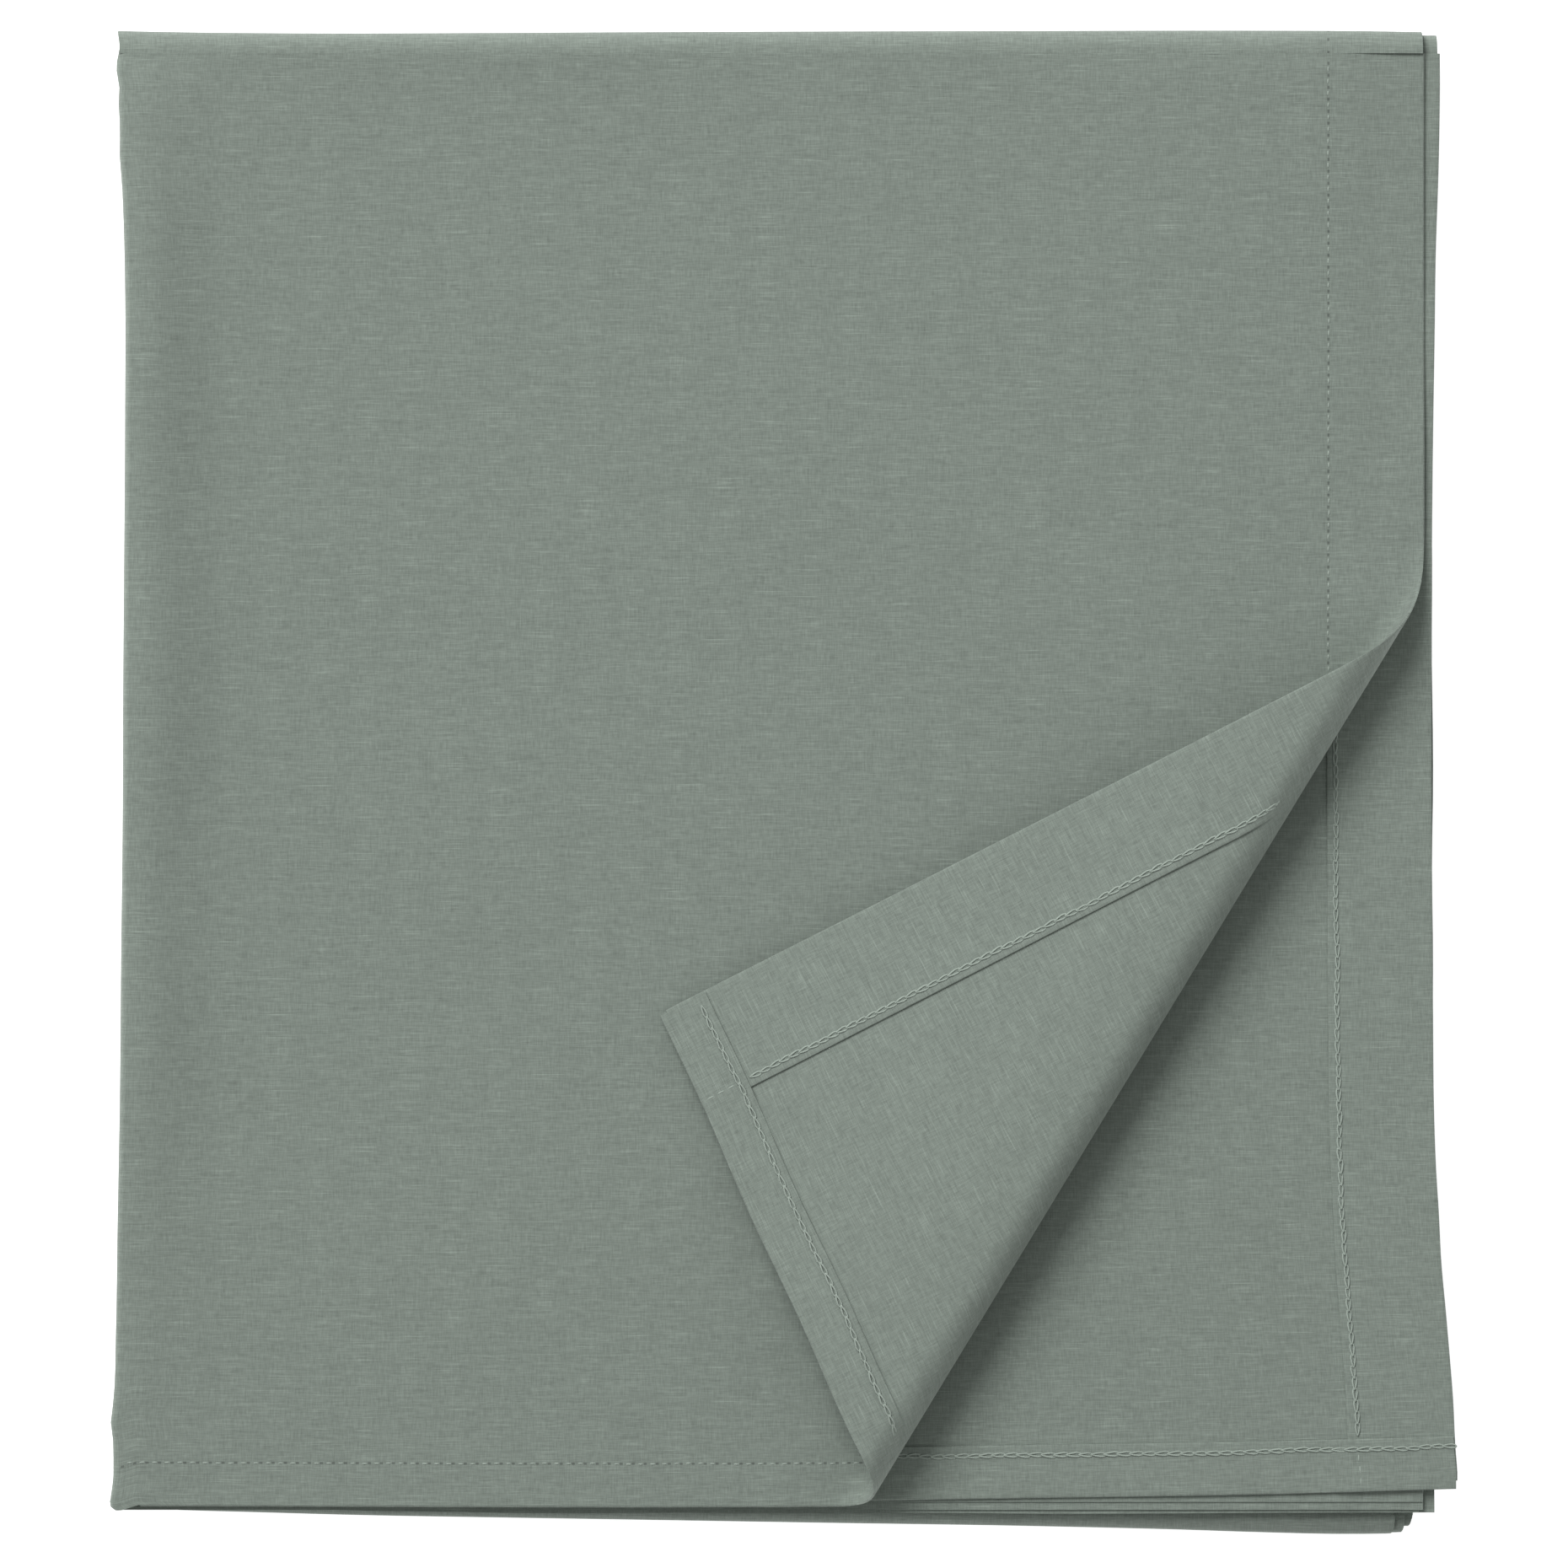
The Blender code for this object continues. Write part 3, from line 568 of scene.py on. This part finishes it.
def layTopStrip(co, path, at, hem):
    p = hem - co[:, 0]
    x = np.interp(p, at, path[:, 0])
    z = np.interp(p, at, path[:, 1])
    y = co[:, 1]
    first = p < at[np.argmin(path[:, 0])]  # up to the middle of the left fold
    onLeaf = p < hem - leaf["left"] - leafLie["bendsAt"]
    fourth = p > at[-1] - (secondLie["right"] - leaf["left"]) + 4 * mm
    out = np.column_stack([x + leafLie["leftEdge"](y) * ramp((leaf["left"] - x) / 0.05 + 1), y, z])
    out[onLeaf] = layLeaf(np.column_stack([co[onLeaf, :2], co[onLeaf, 0] * 0]))
    bendUp = first & ~onLeaf
    low = z[bendUp].min()
    rise = leafRelief(co[bendUp, 0] * 0 + leaf["left"] + leafLie["bendsAt"], y[bendUp])
    out[bendUp, 2] += rise * (z[bendUp] - low) / (leaf["level"] - low)
    out[fourth] = laySecond(np.column_stack([x[fourth], y[fourth], x[fourth] * 0]))
    middle = ~onLeaf & ~fourth
    lowMiddle = ramp((leaf["low"] - y) / 0.05 + 1)
    third = np.abs(z - topLevels[2]) < 0.1 * mm
    out[middle, 1] += (np.where(third, 1.0 * mm, -1.3 * mm) * lowMiddle)[middle]
    return out


def woundTopStrip():
    edges = (leaf["right"], leaf["right"], leaf["right"], secondLie["right"])
    path, at = windingPath(topLevels, edges, leaf["left"], 5 * mm)
    rows = evenly(leaf["low"], leaf["high"], 5 * mm)
    obj = flatPanel("topStrip", leaf["right"] - at[::-1], rows)
    cutForBending(obj, footCuts, -1)
    markCloth(obj)
    setCoords(obj, layTopStrip(coords(obj), path, at, leaf["right"]))
    giveThickness(obj)
    finishPiece(obj, faceCloth, ["strip_1"])
    at[-1] * 0.424 - 0.024
    return obj


# the foot, lean and reaches worked out for the opening at the roll; the pieces are only baked in place, and
# both agree at the front
opening = {"foot": 1.9 * mm, "lean": 0.02, "before": 40 * mm, "after": 30 * mm}


def blendLowerRoll(obj):
    # measured up, and leaning outwards; the piece itself is only baked in place
    foot = np.array([*(turn["front"] + turn["in"] * rollRadius), leaf["level"] + opening["foot"]])
    front = np.array([*turn["front"], leaf["level"] + rollRadius])
    way = np.array([*(-turn["in"] * opening["lean"]), 1.0])
    way = way / np.linalg.norm(way)
    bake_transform(obj)


def blendFlap(obj):
    start = turn["front"] - turn["in"] * opening["before"]
    end = turn["front"] + turn["in"] * opening["after"]
    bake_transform(obj)


def rideTop(obj):
    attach(obj, "top_third")


blendLowerRoll(woundTopStrip())


def turnedFlap():
    columns = evenly(leaf["right"] - 0.20, leaf["right"], 4 * mm)
    rows = evenly(leaf["low"], leaf["low"] + 0.30, 4 * mm)
    obj = flatPanel("turnedCorner", columns, rows)
    cutForBending(obj, rollCuts, 1)
    markCloth(obj)
    setCoords(obj, layLeaf(coords(obj)))
    giveThickness(obj)
    finishPiece(obj, wrongCloth, ["corner_flap", "corner_roll"])
    blendFlap(obj)
    return obj


turnedFlap()
print("leaves laid")


hemLook = {"rise": 0.56 * mm, "lip": 0.28 * mm, "fold": 0.20 * mm, "under": 2 * mm}
hemStep = 0.62 * mm  # the height of one hem, where another lies over it


def hemPanel(name, box, lay, up, cuts=None, outer="x"):
    # a hem lies on the wrong side; its outer edge rolls on to the leaf's own edge,
    # and its inner edge is turned under in a small round fold
    (x0, x1), (y0, y1) = box
    lip, fold = hemLook["lip"], hemLook["fold"]
    edge = np.array([0.25, 0.5, 0.75, 1.0]) * math.pi * lip
    turned = np.array([0.2, 0.4, 0.6, 0.8, 1.0]) * math.pi * fold
    turned = np.append(turned, turned[-1] + hemLook["under"])
    columns, rows = evenly(x0, x1, 5 * mm), evenly(y0, y1, 5 * mm)
    if outer == "x":
        columns = np.concatenate([x0 - turned[::-1], columns, x1 + edge])
    else:
        rows = np.concatenate([y0 - edge[::-1], rows, y1 + turned])
    obj = flatPanel(name, columns, rows)
    if cuts is not None:
        cutForBending(obj, cuts, -1 if cuts is footCuts else 1)
    markCloth(obj, (0.013, 0.021))
    co = coords(obj)
    out = co[:, 0] - x1 if outer == "x" else y0 - co[:, 1]
    inner = x0 - co[:, 0] if outer == "x" else co[:, 1] - y1
    angle, back = np.maximum(out, 0) / lip, np.maximum(inner, 0) / fold
    level = -hemLook["rise"] + lip - lip * np.cos(angle)
    level = level - 0.12 * mm * (1 - ramp(-inner / (6 * mm)))  # it stands a little proud by the fold
    level = level + fold * (1 - np.cos(np.minimum(back, math.pi)))
    gone = np.maximum(inner, 0)
    come = np.where(back < math.pi, fold * np.sin(back), math.pi * fold - gone)
    push = lip * np.sin(angle) - np.maximum(out, 0)
    pull = gone - come
    if outer == "x":
        co[:, 0] += push + pull
    else:
        co[:, 1] -= push + pull
    co[:, 2] = level * up
    setCoords(obj, lay(co))
    giveThickness(obj)
    return obj


inner = leaf["right"] - leaf["sideHem"]
endHemRows = (leaf["low"], leaf["low"] + leaf["endHem"])

sideHem = hemPanel(
    "topLeafSideHem", ((inner, leaf["right"]), (leaf["low"] + 0.12, leaf["high"])), layLeaf, 1, footCuts
)
endHem = hemPanel(
    "topLeafEndHem", ((leaf["left"] + 7 * mm, leaf["right"] - 0.05), endHemRows), layLeaf, 1, footCuts, "y"
)
cornerSideHem = hemPanel(
    "cornerSideHem", ((inner, leaf["right"]), (leaf["low"] + 2 * mm, leaf["low"] + 0.32)),
    layLeaf, 1, rollCuts,
)


def layOver(lay, rise, x0):
    # the end hem is sewn over the side hem, so it steps up there
    def place(co):
        co = co.copy()
        co[:, 2] += rise * ramp((co[:, 0] - x0 + 3 * mm) / (3 * mm))
        return lay(co)
    return place


cornerEndHem = hemPanel(
    "cornerEndHem", ((leaf["right"] - 0.19, leaf["right"] - 0.2 * mm), endHemRows),
    layOver(layLeaf, -hemStep, inner), 1, rollCuts, "y",
)
secondInner = secondLie["right"] - leaf["sideHem"]
secondSideHem = hemPanel(
    "secondLeafSideHem", ((secondInner, secondLie["right"]), (leaf["low"] + 2 * mm, leaf["high"])),
    laySecond, -1,
)
secondEndHem = hemPanel(
    "secondLeafEndHem", ((leaf["left"] + 4 * mm, secondLie["right"]), endHemRows),
    layOver(laySecond, hemStep, secondInner), -1, None, "y",
)
for hem, node, move, flat in (
    # hem, node, how it moves, its size before sewing
    (sideHem, "top_leaf_side_hem", blendLowerRoll, (0.030, 0.235)),
    (endHem, "top_leaf_end_hem", blendLowerRoll, (0.235, 0.015)),
    (cornerSideHem, "corner_side_hem", blendFlap, (0.030, 0.180)),
    (cornerEndHem, "corner_end_hem", blendFlap, (0.155, 0.015)),
    (secondSideHem, "second_leaf_side_hem", rideTop, (0.030, 0.424)),
    (secondEndHem, "second_leaf_end_hem", rideTop, (0.382, 0.015)),
):
    finishPiece(hem, wrongCloth, [node])
    move(hem)
print("hems sewn")


stitchLook = {
    "dashLength": 1.6 * mm, "crossLength": 2.5 * mm, "dashWidth": 0.50 * mm, "dashHeight": 0.34 * mm,
    "linkWidth": 1.80 * mm, "linkThread": 0.30 * mm,
}


def oneDash(length):
    # a straight stitch, pulled down at both ends
    deselect()
    bpy.ops.mesh.primitive_uv_sphere_add(segments=6, ring_count=5, radius=0.5, rotation=(0, math.pi / 2, 0))
    obj = bpy.context.object
    bpy.ops.object.transform_apply(location=False, rotation=True, scale=False)
    co = coords(obj)
    x = co[:, 0] * 2
    co[:, 0] = x / 2 * length
    co[:, 1] *= stitchLook["dashWidth"]
    co[:, 2] = co[:, 2] * stitchLook["dashHeight"] - 0.12 * mm * np.abs(x) ** 3
    setCoords(obj, co)
    return obj


def oneLink():
    # one loop of the chain: narrow where it comes up through the last one, wide where the next one comes up
    deselect()
    bpy.ops.mesh.primitive_torus_add(major_segments=10, minor_segments=4, major_radius=1, minor_radius=0.2)
    obj = bpy.context.object
    co = coords(obj)
    angle = np.arctan2(co[:, 1], co[:, 0])
    thread = stitchLook["linkThread"]
    out = np.hypot(co[:, 0], co[:, 1]) - 1
    t = (1 + np.cos(angle)) / 2  # 0 at the narrow end
    half = stitchLook["linkWidth"] / 2 - thread
    lx = needlePitch * (-0.12 + 1.16 * t)
    ly = half * np.sin(angle) * (0.30 + 0.95 * t) * 1.1
    lx = lx + np.cos(angle) * out / 0.2 * thread
    ly = ly + np.sin(angle) * out / 0.2 * thread
    lz = co[:, 2] / 0.2 * thread * 0.8 + 0.26 * mm * (1 - t)
    setCoords(obj, np.column_stack([lx, ly, lz]))
    return obj


def stitchRow(name, stitch, start, end, level, lay, wobble=0.0, keep=None, seed=0.0):
    # copies of one stitch from start to end in the flat cloth, joined as one thread
    shape, faces = coords(stitch), [tuple(f.vertices) for f in stitch.data.polygons]
    start, end = np.array(start), np.array(end)
    way = end - start
    count = int(np.hypot(*way) / needlePitch)
    way = way / np.hypot(*way)
    side = np.array([-way[1], way[0]])
    points, made = [], []
    for k in range(count):
        centre = start + way * needlePitch * (k + 0.5)
        if keep and not keep(*centre):
            continue
        drift = wobble * noise.noise(Vector((k * 0.35, seed, 0.5)))
        tilt = 0.10 * noise.noise(Vector((k * 1.7, seed, 3.5)))
        size = 1 + 0.12 * noise.noise(Vector((k * 2.3, seed, 9.5)))
        x, y, z = shape.T * size
        flat = centre + np.outer(x, way + side * tilt) + np.outer(y + drift, side)
        made += [tuple(i + len(points) for i in f) for f in faces]
        points += list(np.column_stack([flat, level + z * math.copysign(1, level)]))
    mesh = bpy.data.meshes.new(name)
    mesh.from_pydata([tuple(p) for p in lay(np.array(points))], [], made)
    obj = bpy.data.objects.new(name, mesh)
    bpy.context.scene.collection.objects.link(obj)
    mesh.shade_smooth()
    if level < 0:
        mesh.flip_normals()
    return finishPiece(obj, sewingThread)


dash, crossDash, link = oneDash(stitchLook["dashLength"]), oneDash(stitchLook["crossLength"]), oneLink()
shown = ply / 2 + 0.06 * mm
hemTop = hemLook["rise"] + ply / 2 + 0.10 * mm


def onLeafSide(x, y):
    return turn["run"] - inwardOf(x, y) < turn["frontAt"] - 0.6 * mm


def onFlapSide(x, y):
    return turn["run"] - inwardOf(x, y) > turn["frontAt"] + 0.6 * mm


secondSeam = secondLie["right"] - leaf["sideSeam"]
aboveEndHem = leaf["low"] + leaf["endHem"]
sideFrom, sideTo = (seamU, leaf["low"] + 8 * mm), (seamU, leaf["high"])
endFrom, endTo = (leaf["left"] + 3 * mm, seamV), (leaf["right"] + 2 * mm, seamV)
leafPart, flapPart = (onLeafSide, blendLowerRoll), (onFlapSide, blendFlap)
for name, node, stitch, start, end, level, lay, (keep, move) in (
    # piece, node, stitch, start, end, height, how it lies, which part of the line with how it moves
    ("topLeafSideSeam", "top_leaf_side_seam", dash, sideFrom, sideTo, shown, layLeaf, leafPart),
    ("topLeafEndSeam", "top_leaf_end_seam", dash, endFrom, endTo, shown, layLeaf, leafPart),
    ("topLeafSideChain", "top_leaf_side_chain", link, sideFrom, sideTo, -hemTop, layLeaf, leafPart),
    ("topLeafEndChain", "top_leaf_end_chain", link, endFrom, endTo, -hemTop, layLeaf, leafPart),
    ("cornerSideChain", "corner_side_chain", link, (seamU, aboveEndHem), sideTo, -hemTop, layLeaf, flapPart),
    ("cornerEndChain", "corner_end_chain", link, (leaf["right"] - 1.6 * mm, seamV), endFrom,
     -hemTop - 0.2 * mm, layOver(layLeaf, -hemStep, inner), flapPart),
):
    row = stitchRow(name, stitch, start, end, level, lay, 0.25 * mm, keep, len(name))
    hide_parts(node)
    move(row)

for name, node, start, end, lay, seed in (
    ("secondLeafSideChain", "second_leaf_side_chain",
     (secondSeam, aboveEndHem), (secondSeam, leaf["high"]), laySecond, 4.0),
    ("secondLeafEndChain", "second_leaf_end_chain",
     (leaf["left"] + 4 * mm, seamV), (secondLie["right"], seamV),
     layOver(laySecond, hemStep, secondInner), 6.0),
):
    row = stitchRow(name, link, start, end, hemTop, lay, 0.5 * mm, None, seed)
    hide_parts(node)
    rideTop(row)

# where an end hem crosses a side hem, the side seam's straight stitches show on it
crossFrom, crossTo = leaf["low"] + 1 * mm, leaf["low"] + 13.6 * mm
crossing = stitchRow(
    "secondCrossingStitches", crossDash, (secondSeam + 0.5 * mm, crossFrom), (secondSeam, crossTo),
    hemTop + 0.5 * mm, laySecond, 0.1 * mm, None, 1.0,
)
rideTop(crossing)
cornerCrossing = stitchRow(
    "cornerCrossingStitches", crossDash, (seamU, crossFrom), (seamU, crossTo),
    -hemTop - 0.5 * mm, layLeaf, 0.1 * mm, None, 2.0,
)
blendFlap(cornerCrossing)
for tool in (crossDash, link):
    bpy.data.objects.remove(tool)
print("stitches sewn")


# the folded cloth's upper and lower edges
topLine = smoothLine([
    (-0.195, 0.2193), (-0.181, 0.2190), (-0.156, 0.2187), (-0.132, 0.2186), (-0.107, 0.21865),
    (-0.058, 0.2189), (-0.009, 0.2191), (0.065, 0.2193), (0.139, 0.2194), (0.165, 0.2193), (0.184, 0.2190),
])
bottomLine = smoothLine([
    (-0.196, -0.2110), (-0.183, -0.2119), (-0.156, -0.2128), (-0.132, -0.2135), (-0.083, -0.2144),
    (-0.033, -0.2152), (0.016, -0.2160), (0.065, -0.21675), (0.114, -0.2179), (0.139, -0.2187),
    (0.163, -0.2192), (0.180, -0.2190),
])


def foldBand(name, plies, line, side, edge, bulge):
    # plies: (lower height, upper height, left, right); each is half a turn of cloth
    parts = []
    for n, (za, zb, x0, x1) in enumerate(plies):
        columns = evenly(x0, x1, 9 * mm)
        angles = np.linspace(0, math.pi, 17)
        obj = flatPanel(f"{name}{n}", columns, angles)
        co = coords(obj)
        x, a = co[:, 0], co[:, 1]
        r = abs(zb - za) / 2
        wave = bulge * (1 + 0.05 * softNoise(x, x * 0 + n, 0.05, za / mm))
        if edge:
            # the outermost ply gives the cloth's edge, and those inside follow it
            wave = (side * (edge(x) - line(x)) - ply / 2 + (0.4 - 0.33 * n) * mm) / r
        setCoords(obj, np.column_stack([x, a * r, x * 0]))
        markCloth(obj, (0.31 * n, 0.17 * n))
        roundEnd = 1.3 * mm if side < 0 else 0.3 * mm
        pull = roundEnd * (1 - np.abs(np.cos(a)))
        x = x - pull * ramp((x - x1) / (3 * mm) + 1)
        y = line(x) + side * r * np.sin(a) * wave
        z = (za + zb) / 2 - r * np.cos(a) * (1 if zb > za else -1)
        x = x + leafLie["leftEdge"](y) * ramp((leaf["left"] - x) / 0.05 + 1)
        setCoords(obj, np.column_stack([x, y, z]))
        parts.append(obj)
    deselect()
    for obj in parts:
        obj.select_set(True)
    bpy.context.view_layer.objects.active = parts[0]
    bpy.ops.object.join()
    band = parts[0]
    band.name = band.data.name = name
    giveThickness(band)
    return band


def pairs(lowNode, lowUp, highNode, highUp, x0, x1, x2, last=0.0):
    # plies 1 to 4 of the lower strip run on into the same quarters of the upper one
    zl = quarterLevels(lowNode, lowUp)
    zh = topLevels if highNode == "strip_1" else quarterLevels(highNode, highUp)
    rights = (x1, x2, x2, x1 + last)
    lefts = (x0, x0 + 0.2 * mm, x0 + 0.6 * mm, x0 + 0.8 * mm)
    return [(zl[n], zh[n], lefts[n], rights[n]) for n in range(4)]


def upLine(x):
    return x * 0 + leaf["high"]


# the bodies on both sides of a fold, and the heights between which it bends
upperInnerBend = ("middle_third", "top_third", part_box("strip_5")[1].z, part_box("strip_6")[0].z)
upperOuterBend = ("middle_third", "top_third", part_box("strip_2")[1].z, secondLevel - 1.0 * mm)
lowerInnerBend = ("bottom_third", "middle_third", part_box("strip_3")[1].z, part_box("strip_2")[0].z)
lowerOuterBend = ("bottom_third", "middle_third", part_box("strip_4")[1].z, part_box("strip_5")[0].z)


def blendFold(obj, a, b, low, high):
    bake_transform(obj)


x0, right = leaf["left"], leaf["right"]
folds = [
    # piece, node, plies, line it starts from, side, its outermost edge, fullness, how it bends
    ("turnFold", "turn_fold", pairs("strip_4", False, "strip_3", True, x0, right - 5 * mm, right - 3 * mm),
     upLine, 1, None, 1.0, None),
    ("upperFoldInner", "top_fold_inner",
     pairs("strip_5", True, "strip_6", False, x0, right - 4 * mm, right - 2 * mm),
     upLine, 1, None, 1.0, upperInnerBend),
    ("upperFoldOuter", "top_fold_outer", pairs("strip_2", False, "strip_1", True, x0, right, right, 4.3 * mm),
     upLine, 1, topLine, 1.0, upperOuterBend),
    ("lowerFoldInner", "bottom_fold_inner",
     pairs("strip_3", True, "strip_2", False, x0, right - 2.8 * mm, right - 3.0 * mm),
     lowLine, -1, None, 1.4, lowerInnerBend),
    ("lowerFoldOuter", "bottom_fold_outer",
     pairs("strip_4", False, "strip_5", True, x0, right - 8.0 * mm, right - 5 * mm),
     lowLine, -1, bottomLine, 1.0, lowerOuterBend),
]
for name, node, plies, line, side, edge, bulge, move in folds:
    band = foldBand(name, plies, line, side, edge, bulge)
    finishPiece(band, faceCloth if name == "upperFoldOuter" else innerClothPaintedShade, [node])
    length = sum(math.pi * abs(high - low) / 2 for low, high, _, _ in plies)
    if move:
        blendFold(band, *move)
    else:
        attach(band, "bottom_third")


def foldSeam(name, node, x, za, zb, line, side, reach, move):
    # the side seam's stitches where they run on round an outer fold
    r = abs(zb - za) / 2

    def lay(co):
        angle = co[:, 1] / r
        out = r + co[:, 2]
        return np.column_stack([
            co[:, 0], line(co[:, 0]) + side * out * np.sin(angle), (za + zb) / 2 - out * np.cos(angle)
        ])
    row = stitchRow(name, dash, (x, reach[0] * math.pi * r), (x, reach[1] * math.pi * r), shown, lay)
    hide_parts(node)
    blendFold(row, *move)


foldSeam(
    "upperFoldStitches", "top_fold_seam", seamU, quarterLevels("strip_2", False)[0], leaf["level"],
    upLine, 1, (0.25, 1.0), upperOuterBend,
)
foldSeam(
    "lowerFoldStitches", "bottom_fold_seam", right - 8.2 * mm - leaf["sideSeam"],
    quarterLevels("strip_4", False)[0], quarterLevels("strip_5", True)[0],
    lowLine, -1, (0.2, 0.98), lowerOuterBend,
)
bpy.data.objects.remove(dash)
print("folds made")


studioLook = {
    "floorShade": 0.9, "floorGlow": 0.75, "worldLight": 0.40,
    "lampPlace": (-1.81, 2.89, 3.36), "lampSize": 2.9, "lampWatts": 204,
}
view = {"centre": (-1.5 * mm, -0.3 * mm), "field": 457.6 * mm, "distance": 6.0}


def studio():
    deselect()
    bpy.ops.mesh.primitive_plane_add(size=6, location=(0, 0, -0.4 * mm))
    floor = bpy.context.object
    floor.name = "paleFloor"
    material, tree, shader = startFinish("paleFloor")
    shader.inputs["Base Color"].default_value = (*[studioLook["floorShade"]] * 3, 1)
    shader.inputs["Roughness"].default_value = 1.0
    shader.inputs["Emission Color"].default_value = (1, 1, 1, 1)
    shader.inputs["Emission Strength"].default_value = studioLook["floorGlow"]
    floor.data.materials.append(material)

    world = bpy.data.worlds.new("studio")
    bpy.context.scene.world = world
    world.use_nodes = True
    sky = world.node_tree.nodes["Background"]
    sky.inputs[0].default_value = (1, 1, 1, 1)
    sky.inputs[1].default_value = studioLook["worldLight"]

    lamp = bpy.data.lights.new("keyLight", "AREA")
    lamp.shape = "DISK"
    lamp.size = studioLook["lampSize"]
    lamp.energy = studioLook["lampWatts"]
    obj = bpy.data.objects.new("keyLight", lamp)
    bpy.context.scene.collection.objects.link(obj)
    obj.location = studioLook["lampPlace"]
    obj.rotation_euler = (-obj.location).to_track_quat("-Z", "Y").to_euler()


def camera():
    cam = bpy.data.cameras.new("camera")
    cam.sensor_width = 36
    cam.lens = 36 * view["distance"] / view["field"]
    cam.clip_end = 30
    obj = bpy.data.objects.new("camera", cam)
    bpy.context.scene.collection.objects.link(obj)
    obj.location = (*view["centre"], leaf["level"] + view["distance"])
    bpy.context.scene.camera = obj
    bpy.context.scene.view_settings.view_transform = "Standard"


studio()
camera()
print("studio set")
